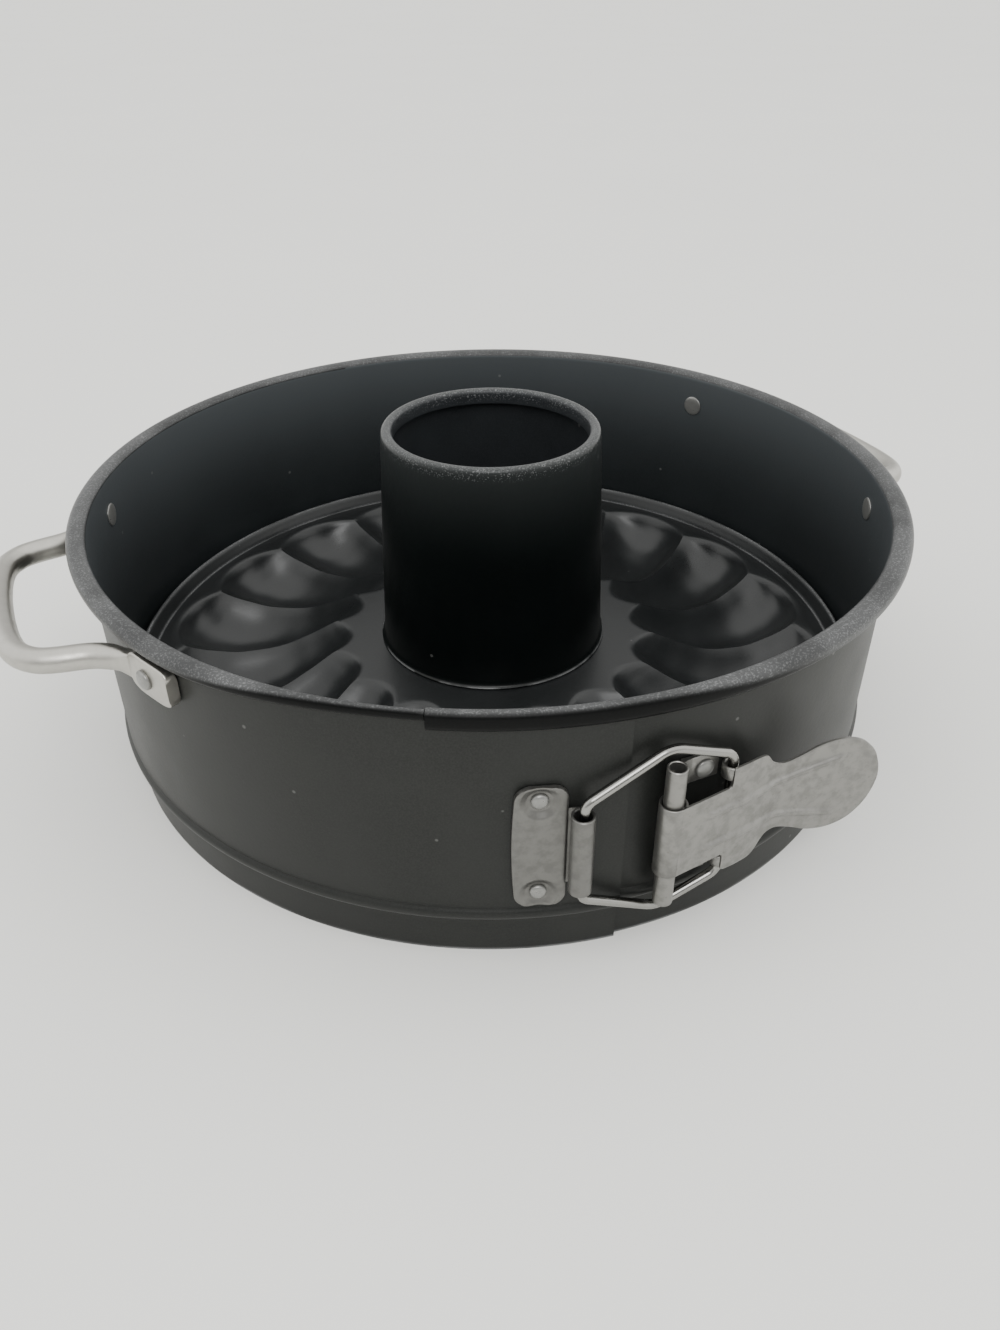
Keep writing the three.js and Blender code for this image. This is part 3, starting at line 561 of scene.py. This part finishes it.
# Loop handles
# Pale plated steel rod, bent to a wide bow, with both ends flattened to paddles that lie on the band's
# wall and are riveted through it.
def plated_steel(name, colour, gloss, mottle, metal=1.0):
    """Plated steel with clouded patches, fine pits and short scratches along its surface"""
    made = bpy.data.materials.new(name)
    made.use_nodes = True
    flow = Flow(made.node_tree)
    tree = made.node_tree
    skin = tree.nodes["Principled BSDF"]
    at = flow.node("ShaderNodeTexCoord", out="Object")
    patch = flow.node("ShaderNodeTexNoise", {}, {
        "Vector": at, "Scale": 330, "Detail": 4, "Roughness": 0.6}, "Fac")
    grain = flow.node("ShaderNodeTexNoise", {}, {"Vector": at, "Scale": 1500, "Detail": 2}, "Fac")
    drawn = flow.node("ShaderNodeMapping", {}, {"Vector": at, "Scale": (300, 300, 2600)})
    scratch = flow.node("ShaderNodeTexNoise", {}, {"Vector": drawn, "Scale": 1.0, "Detail": 2}, "Fac")
    pits = flow.node("ShaderNodeTexVoronoi", {}, {"Vector": at, "Scale": 420}, "Distance")
    pits = 1 - pits.rise(0.06, 0.16)
    stain = patch.rise(0.38, 0.66) * mottle
    dull = tuple(c * 0.74 for c in colour)
    pit_tone = (0.12, 0.115, 0.105, 1)
    shade = stain.tint((*colour, 1), (*dull, 1))
    shade = (pits * 0.4 * mottle).tint(shade, pit_tone)
    tree.links.new(shade.socket, skin.inputs["Base Color"])
    rough = gloss + stain * 0.16 + (grain - 0.5) * 0.14 + (scratch - 0.5) * 0.1
    tree.links.new(rough.socket, skin.inputs["Roughness"])
    skin.inputs["Metallic"].default_value = metal
    relief = grain * 0.5 + patch * 0.5 - pits * 0.3
    bump = flow.node("ShaderNodeBump", {}, {
        "Strength": 0.1 * mottle + 0.02, "Distance": 0.0001, "Height": relief})
    tree.links.new(bump.socket, skin.inputs["Normal"])
    return made


handle_z, handle_half, paddle_half, paddle_tall = 64, 3.25, 1.6, 5.3
wall_gap, bow_trim, rod_sides = 0.3, 0.2, 32
paddle_rows = [  # degrees past the rivet, share of the paddle's height
    (4.3, 0.66), (4.15, 0.8), (3.6, 0.94), (2.4, 1), (0, 1), (-1.8, 1), (-2.9, 0.87), (-3.7, 0.64)]
bow_rows = [  # share of the reach, distance from the handle's middle
    (0, 33.9), (0.2, 31.6), (0.52, 30.1), (0.715, 28.2), (0.873, 23.8), (0.953, 17.2), (0.99, 8.6)]
handle_nickel = plated_steel("handle_nickel", (0.45, 0.438, 0.405), 0.36, 0.2)
handle_right = {"az": 1.65, "spread": 24.65, "reach": 22.6, "droop": 3, "wall": right_strip["radius"]}
handle_left = {"az": 181.05, "spread": 23.35, "reach": 23.4, "droop": 0, "wall": left_strip["radius"]}


def handle_skin(az, spread, reach, droop, wall):
    """The bowed rod: its path out from one paddle and back to the other, from flat to round section"""
    seat = wall + wall_gap + paddle_half
    stations = []
    for step, tall in paddle_rows:
        turn = math.radians(spread + step)
        x, y = seat * math.cos(turn), seat * math.sin(turn)
        stations.append((x, y, handle_z, paddle_half, paddle_tall * tall, 6))
    turn, neck = math.radians(spread - 5.2), wall + 2.7
    stations.append((neck * math.cos(turn), neck * math.sin(turn), handle_z, 2.4, 3.1, 2.4))
    for out, y in bow_rows:
        x, z = wall + (reach - bow_trim) * out, handle_z - droop * out
        stations.append((x, y, z, handle_half, handle_half, 2))
    bow = (wall + reach - bow_trim, 0, handle_z - droop, handle_half, handle_half, 2)
    whole = smooth_line(stations + [bow] + [(x, -y, *rest) for x, y, *rest in stations[::-1]], 7)
    along = np.gradient(whole[:, :2], axis=0)
    along /= np.linalg.norm(along, axis=1)[:, None]
    turn = math.radians(az)
    rings = []
    for (x, y, z, w, h, k), (ax, ay) in zip(whole, along):
        ring = []
        for i in range(rod_sides):
            step = 2 * math.pi * i / rod_sides
            across, up = w * bulged(math.cos(step), 2 / k), h * bulged(math.sin(step), 2 / k)
            px, py = x + ay * across, y - ax * across
            ring.append((px * math.cos(turn) - py * math.sin(turn),
                         px * math.sin(turn) + py * math.cos(turn), z + up))
        rings.append(ring)
    return skin_rings(rings)


for side, sizes in (("right", handle_right), ("left", handle_left)):
    handle = new_piece("handle_rod_" + side, handle_skin(**sizes), handle_nickel, 42)
    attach(handle, "band_" + side)
    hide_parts("handle_" + side)

# Lever bracket
# A strip of plated sheet rolled into the hollow pivot tube that the lever turns on, with two tabs that
# reach back to the band's right end and are riveted to it.
latch_z, pivot_az, pivot_radius = 36.7, -93, 120.4
bracket_sheet, tab_tall, tab_lows, pivot_half = 0.9, 7.2, (11.1, -18.3), 20.9
latch_zinc = plated_steel("latch_zinc", (0.25, 0.246, 0.233), 0.36, 0.75, 0.9)


def on_latch(skin, az=pivot_az, radius=pivot_radius):
    """Move points from a frame on the wall, x along it, y inwards and z up, to their place on the pan"""
    turn = math.radians(az + 90)
    c, s = math.cos(turn), math.sin(turn)
    ox, oy = radius * math.cos(math.radians(az)), radius * math.sin(math.radians(az))
    points, faces = skin
    return [(ox + x * c - y * s, oy + x * s + y * c, latch_z + z) for x, y, z in points], faces


def join_skins(*skins):
    """One skin from the points and faces of several"""
    points, faces = [], []
    for more, sides in skins:
        faces += [tuple(i + len(points) for i in side) for side in sides]
        points += more
    return points, faces


def rolled(cx, cy, inner, outer, low, high, start=0, stop=360, steps=48):
    """A rolled barrel of sheet round an upright line, closed or open, with eased ends"""
    ease = min(0.25, (outer - inner) * 0.3)
    section = [(inner, low + ease), (inner + ease, low), (outer - ease, low), (outer, low + ease),
               (outer, high - ease), (outer - ease, high), (inner + ease, high), (inner, high - ease)]
    closed = stop - start >= 360
    rings = []
    for i in range(steps if closed else steps + 1):
        turn = math.radians(start + (stop - start) * i / steps)
        rings.append([(cx + r * math.cos(turn), cy + r * math.sin(turn), z) for r, z in section])
    return skin_rings(rings, closed=closed)


def drawn_up(outline, low, high):
    """A plan outline drawn up into a bar of sheet with eased edges"""
    ease = 0.15
    outline = np.array(outline, float)
    middle = outline.mean(0)
    small = outline + (middle - outline) / np.linalg.norm(middle - outline, axis=1)[:, None] * ease
    rings = []
    for shape, z in ((small, low), (outline, low + ease), (outline, high - ease), (small, high)):
        rings.append([(x, y, z) for x, y in shape])
    return skin_rings(rings)


def tab_depth(x):
    """How far behind the pivot the middle of a tab's sheet lies on the wall"""
    return pivot_radius - math.sqrt((right_strip["radius"] + wall_gap) ** 2 - x * x) - bracket_sheet / 2


foot_line = [(x, tab_depth(x)) for x in np.linspace(3.6, 13.6, 9)]
web_line = smooth_line([(-0.9, 1.95), (1.2, 2.3), (3, 3.3), (4.6, 4.35), (6.2, tab_depth(6.2))], 4)
bracket_skins = [rolled(0, 0, 1.85, 2.4, -pivot_half, pivot_half)]
for low in tab_lows:
    bracket_skins.append(drawn_up(sheet_outline(foot_line, bracket_sheet), low, low + tab_tall))
    bracket_skins.append(drawn_up(sheet_outline(web_line, bracket_sheet), low + 0.01, low + tab_tall - 0.01))
bracket = new_piece("lever_bracket_tube", on_latch(join_skins(*bracket_skins)), latch_zinc)
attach(bracket, "band_right")
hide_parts("lever_bracket")

# Lever
# Pressed plated sheet: its end is rolled round the bracket's tube, two ears are curled round the wire
# loop, and two long ribs stiffen it out to the rounded thumb pad, which is cranked towards the pan.
lever_sheet, lever_front, rib_tall, knuckle_half = 1.0, -0.3, 0.8, 10.5
ear_x, ear_y, ear_tall, ear_lows = 16, 2.4, 3.6, (12, -15.6)
# rows of the sheet: distance from the pivot, half width, depth
shank = [(0.9, 10.5, -2.9), (4, 10.5, -2.3), (8, 10.5, -1.5), (14.3, 10.5, -0.22), (14.75, 11, -0.15),
         (14.9, 12.2, -0.1), (14.92, 15.2, -0.1), (15.2, 15.75, -0.06), (16, 16, 0)]
pad = [(16, 16, 0), (19, 16.1, 0.5), (23.6, 15.9, 1.6), (25.6, 14.6, 2.2), (27.3, 12.3, 2.7),
       (29.2, 10.9, 3.2), (32, 10.4, 3.4), (36, 11.6, 3.3), (40, 13.3, 3), (44, 14.1, 2.7), (48, 13.9, 2.4),
       (52, 12.3, 2.1), (55.5, 8.8, 1.9), (57.3, 5, 1.8), (58, 2.2, 1.8), (58.2, 0.5, 1.8)]
rib_line = np.array([
    (8, 5), (16, 5), (19, 5), (24, 5.1), (28, 5.3), (32, 5.6), (38, 6.8), (44, 8.2), (48, 9)])


def lever_rings(stations):
    """Sections of the sheet, upright across the lever, with the two ribs pressed out of its front"""
    rings = []
    for x, half, depth in stations:
        face = lever_front + depth
        rib_at = np.interp(x, rib_line[:, 0], rib_line[:, 1])
        rib = rib_tall * eased(x, 7, 10) * (1 - eased(x, 45.5, 48.5))
        front, back = [], []
        for z in np.linspace(-half, half, 73):
            press = rib * (1 - eased(abs(abs(z) - rib_at), 0.35, 1.35))
            edge = 0.22 * eased(abs(z), half - 0.35, half)
            front.append((x, face - press + edge, z))
            back.append((x, face + lever_sheet - press * 0.8 - edge, z))
        rings.append(front + back[::-1])
    return rings


neck, per_row = [], 4
for here, after in zip(np.array(shank[:-1]), np.array(shank[1:])):
    neck += [tuple(here + (after - here) * k / per_row) for k in range(per_row)]
lever_skins = [skin_rings(lever_rings(neck + [tuple(p) for p in smooth_line(pad, 5)]))]
lever_skins.append(rolled(0, 0, 2.7, 3.31, -knuckle_half, knuckle_half))
for low in ear_lows:
    lever_skins.append(rolled(ear_x, ear_y, 1.7, 2.5, low, low + ear_tall, 55, 272, 30))
lever = new_piece("lever_strip", on_latch(join_skins(*lever_skins)), latch_zinc, 48)
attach(lever, "lever")
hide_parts("lever")

# Wire loop
# Bright steel wire bent to a six-sided ring. One upright side runs through the roll on the loop plate,
# the other through the lever's ears, so that the lever draws the band's ends together.
loop_bright = plated_steel("loop_bright", (0.29, 0.287, 0.273), 0.22, 0.1)
loop_half, loop_az, loop_radius, bend_steps, wire_sides = 1.22, -103, 120.2, 10, 20
swing = math.radians(loop_az - pivot_az)
plate_x, plate_y = loop_radius * math.sin(swing), pivot_radius - loop_radius * math.cos(swing)
corners = [  # place along the wall, height and bend
    (plate_x, 14.6, 3.4), (-0.5, 24.8, 7), (ear_x, 18.4, 4), (ear_x, -18.4, 4), (-0.5, -24.8, 7),
    (plate_x, -14.6, 3.4)]
loop_path = []
for i, (cx, cz, bend) in enumerate(corners):
    here = Vector((cx, cz))
    a = (Vector(corners[i - 1][:2]) - here).normalized()
    b = (Vector(corners[(i + 1) % len(corners)][:2]) - here).normalized()
    half = a.angle(b) / 2
    centre = here + (a + b).normalized() * bend / math.sin(half)
    start, stop = here + a * bend / math.tan(half) - centre, here + b * bend / math.tan(half) - centre
    for k in range(bend_steps + 1):
        q = start.lerp(stop, k / bend_steps).normalized() * bend + centre
        depth = plate_y + (ear_y - plate_y) * (q.x - plate_x) / (ear_x - plate_x)
        loop_path.append(Vector((q.x, depth, q.y)))
loop_rings = []
for i, p in enumerate(loop_path):
    along = (loop_path[(i + 1) % len(loop_path)] - loop_path[i - 1]).normalized()
    side = along.cross(Vector((0, 1, 0))).normalized()
    out = side.cross(along)
    loop_rings.append([tuple(p + (side * math.cos(t) + out * math.sin(t)) * loop_half)
                       for t in (2 * math.pi * k / wire_sides for k in range(wire_sides))])
loop = new_piece("latch_wire_loop", on_latch(skin_rings(loop_rings, closed=True)), loop_bright)
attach(loop, "wire_loop")
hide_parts("wire_loop")

# Loop plate
# A thick plated plate curved to the wall, with two dished seats for its rivets and one long edge
# rolled into a barrel that holds the wire loop. It is riveted to the band's left end.
plate_az, plate_stand, plate_thick = -107.6, 116.6, 1.4
plate_wide, plate_tall, plate_corner, seat_z, seat_round = 12.7, 36.6, 3.5, 14.1, 4.8
seat_deep, seat_slope, side_bow, edge_soft, curl_half = 1.2, 1.9, 0.9, 0.25, 11.7


def plate_rings():
    """Sections of the plate from its foot to its top, with round corners, dished seats and soft edges"""
    rings = []
    rows = np.sort(np.append(np.linspace(-1, 1, 101), [-0.997, -0.99, 0.99, 0.997]))
    for z in rows * plate_tall / 2:
        over = max(abs(z) - (plate_tall / 2 - plate_corner), 0)
        inset = plate_corner - math.sqrt(max(plate_corner ** 2 - over ** 2, 0))
        bow = side_bow * (z / (plate_tall / 2)) ** 2
        front, back = [], []
        for t in np.linspace(0, 1, 41):
            x = -plate_wide / 2 + inset + bow + (plate_wide - 2 * inset - bow) * t
            lie = plate_stand - math.sqrt(plate_stand ** 2 - x * x)
            dish = seat_deep * min(max((seat_round - math.hypot(x, abs(z) - seat_z)) / seat_slope, 0), 1)
            edge = edge_soft * eased(abs(2 * t - 1), 0.93, 1) + edge_soft * eased(abs(z), 17.9, 18.3)
            front.append((x, lie - plate_thick + dish + edge, z))
            back.append((x, lie, z))
        rings.append(front + back[::-1])
    return rings


turn = math.radians(loop_az - plate_az)
roll_x, roll_y = loop_radius * math.sin(turn), plate_stand - loop_radius * math.cos(turn)
tongue = [(4.5, -0.1), (4.5, -0.4), (roll_x - 1.6, roll_y + 2.75), (roll_x - 0.4, roll_y + 2.1),
          (roll_x - 0.4, roll_y + 2.9)]
curl_skin = rolled(roll_x - 0.3, roll_y, 2.1, 2.8, -curl_half, curl_half)
plate_skin = join_skins(skin_rings(plate_rings()), curl_skin, drawn_up(tongue, -11.6, 11.6))
# the plate's plating is a darker copy of the latch's: painted shade, offsetting the extra light it gets from
# facing the lamp
plate_zinc_painted_shade = plated_steel("plate_zinc_painted_shade", (0.165, 0.163, 0.155), 0.36, 0.6, 0.9)
plate = new_piece("loop_plate_roll", on_latch(plate_skin, plate_az, plate_stand), plate_zinc_painted_shade, 42)
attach(plate, "band_left")
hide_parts("loop_plate")

# Rivets
# Eight steel rivets hold the handles, the bracket and the loop plate to the band. Each shows a domed
# head outside; inside the pan the handle and bracket rivets end in low round heads.
# A head's row: azimuth, height, radius, way it faces, half width and rise, in degrees and millimetres.
inner_head, inner_set, bracket_az, bracket_z = 3.4, 0.85, -88.2, 14.4
rivet_bright = plated_steel("rivet_bright", (0.24, 0.24, 0.23), 0.3, 0.4, 0.6)


def handle_spots(az, spread, wall, **other):
    """Rows of a handle's two heads outside, on its paddles, and two inside, on the wall"""
    outside = [(az + s * spread, handle_z, wall + 3.45, 1, 2.6, 1.4) for s in (1, -1)]
    inside = [(az + s * spread, handle_z, wall - inner_set, -1, inner_head, 0.65) for s in (1, -1)]
    return outside + inside


def rivet_heads(name, spots):
    """One piece with a domed head at each row, turned to face out of what it holds"""
    seed = bpy.data.meshes.new(name + "_seed")
    places, facing, scale = [], [], []
    for az, z, radius, way, half_wide, tall in spots:
        c, s = math.cos(math.radians(az)), math.sin(math.radians(az))
        places.append((radius * c * mm, radius * s * mm, z * mm))
        facing += [way * c, way * s, 0]
        scale += [half_wide * mm, half_wide * mm, tall * mm]
    seed.from_pydata(places, [], [])
    seed.attributes.new("facing", "FLOAT_VECTOR", "POINT").data.foreach_set("vector", facing)
    seed.attributes.new("head_size", "FLOAT_VECTOR", "POINT").data.foreach_set("vector", scale)
    sizes = {"Rows": 15, "Sides": 33}
    tree, given = new_tree(name + "_rule", sizes)
    sheet = given.node("GeometryNodeMeshGrid", {}, {
        "Size X": 1.0, "Size Y": 1.0, "Vertices X": given.out("Rows"), "Vertices Y": given.out("Sides")})
    spot = given.node("ShaderNodeSeparateXYZ", {}, {0: given.node("GeometryNodeInputPosition")})
    share, around = spot + 0.5, (spot.out(1) + 0.5) * (2 * math.pi)
    radius = given.node("ShaderNodeFloatCurve", {"curve": [
        (0, 0), (0.2, 0.42), (0.4, 0.72), (0.58, 0.92), (0.7, 1), (0.82, 1), (1, 0)]}, {"Value": share})
    height = given.node("ShaderNodeFloatCurve", {"curve": [
        (0, 1), (0.2, 0.97), (0.4, 0.84), (0.58, 0.6), (0.7, 0.36), (0.82, 0.05), (1, 0)]}, {"Value": share})
    point = given.node("ShaderNodeCombineXYZ", {}, {
        0: radius * given.maths("COSINE", around), 1: radius * given.maths("SINE", around), 2: height})
    sheet = given.node("GeometryNodeSetPosition", {}, {"Geometry": sheet, "Position": point})
    sheet = given.node("GeometryNodeMergeByDistance", {}, {"Geometry": sheet, "Distance": 1e-4})
    named = {key: given.node("GeometryNodeInputNamedAttribute", {"data_type": "FLOAT_VECTOR"}, {"Name": key})
             for key in ("facing", "head_size")}
    aim = given.node("FunctionNodeAlignRotationToVector", {"axis": "Z"}, {"Vector": named["facing"]})
    heads = given.node("GeometryNodeInstanceOnPoints", {}, {
        "Points": given, "Instance": sheet, "Rotation": aim, "Scale": named["head_size"]})
    return grown_piece(name, tree, heads, rivet_bright, sizes, seed)


wall = right_strip["radius"]
bracket_heights = [latch_z + s * bracket_z for s in (1, -1)]
bracket_spots = [(bracket_az, z, wall + 1.2, 1, 2.4, 1.1) for z in bracket_heights]
bracket_spots += [(bracket_az, z, wall - inner_set, -1, inner_head, 0.6) for z in bracket_heights]
plate_spots = [(plate_az, latch_z + s * seat_z, plate_stand + 0.2, 1, 2.05, 1.15) for s in (1, -1)]
for side, sizes, spots in (("right", handle_right, bracket_spots), ("left", handle_left, plate_spots)):
    rivets = rivet_heads("rivet_heads_" + side, handle_spots(**sizes) + spots)
    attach(rivets, "band_" + side)
    latch_part = "bracket" if side == "right" else "plate"
    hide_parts(*[f"{part}_rivet_{i}" for part in ("handle_" + side, latch_part) for i in (1, 2)])

# Floor and light
# A plain pale table in a soft white light tent, which is brighter at its roof and sides and dimmer at
# the front, where the camera is. One broad lamp shines from high up behind the camera.
floor_half = 12
floor_corners = [(x * floor_half, y * floor_half, 0) for x, y in ((-1, -1), (1, -1), (1, 1), (-1, 1))]
floor_mesh = bpy.data.meshes.new("floor")
floor_mesh.from_pydata(floor_corners, [], [(0, 1, 2, 3)])
floor = bpy.data.objects.new("floor", floor_mesh)
scene.collection.objects.link(floor)
pale = bpy.data.materials.new("pale_table")
pale.use_nodes = True
flow = Flow(pale.node_tree)
mottle = flow.node("ShaderNodeTexNoise", {}, {
    "Vector": flow.node("ShaderNodeTexCoord", out="Object"), "Scale": 5, "Detail": 3}, "Fac")
paint = mottle.tint((0.8, 0.8, 0.775, 1), (0.84, 0.84, 0.815, 1))
matt = pale.node_tree.nodes["Principled BSDF"]
pale.node_tree.links.new(paint.socket, matt.inputs["Base Color"])
matt.inputs["Roughness"].default_value = 0.85
floor_mesh.materials.append(pale)
lamp_place = Vector((-0.44, -1.04, 1.1))
lamp = bpy.data.objects.new("tent_lamps", bpy.data.lights.new("tent_lamps", "AREA"))
scene.collection.objects.link(lamp)
lamp.data.shape = "DISK"
lamp.data.size = 0.8
lamp.data.energy = 9
lamp.location = lamp_place
lamp.rotation_euler = (-lamp_place).to_track_quat("-Z", "Y").to_euler()
tent = bpy.data.worlds.new("tent")
tent.use_nodes = True
flow = Flow(tent.node_tree)
way = flow.node("ShaderNodeSeparateXYZ", {}, {0: flow.node("ShaderNodeTexCoord", out="Generated")})
ahead_x, ahead_y = 0.383, 0.924
opening = (way * -ahead_x + way.out(1) * -ahead_y).rise(0.1, 0.6)
roof = way.out(2).rise(0.5, 0.9)
sides = abs(way * ahead_y - way.out(1) * ahead_x).rise(0.35, 0.85)
shut = opening * (1 - way.out(2).rise(0.15, 0.5)) * 0.5
glow = (0.46 + roof * 0.62 + sides * 0.6) * (1 - shut)
tint = glow.tint((0, 0, 0, 1), (1.0, 1.0, 0.98, 1))
surround = tent.node_tree.nodes["Background"]
tent.node_tree.links.new(tint.socket, surround.inputs["Color"])
surround.inputs["Strength"].default_value = 2.0
scene.world = tent
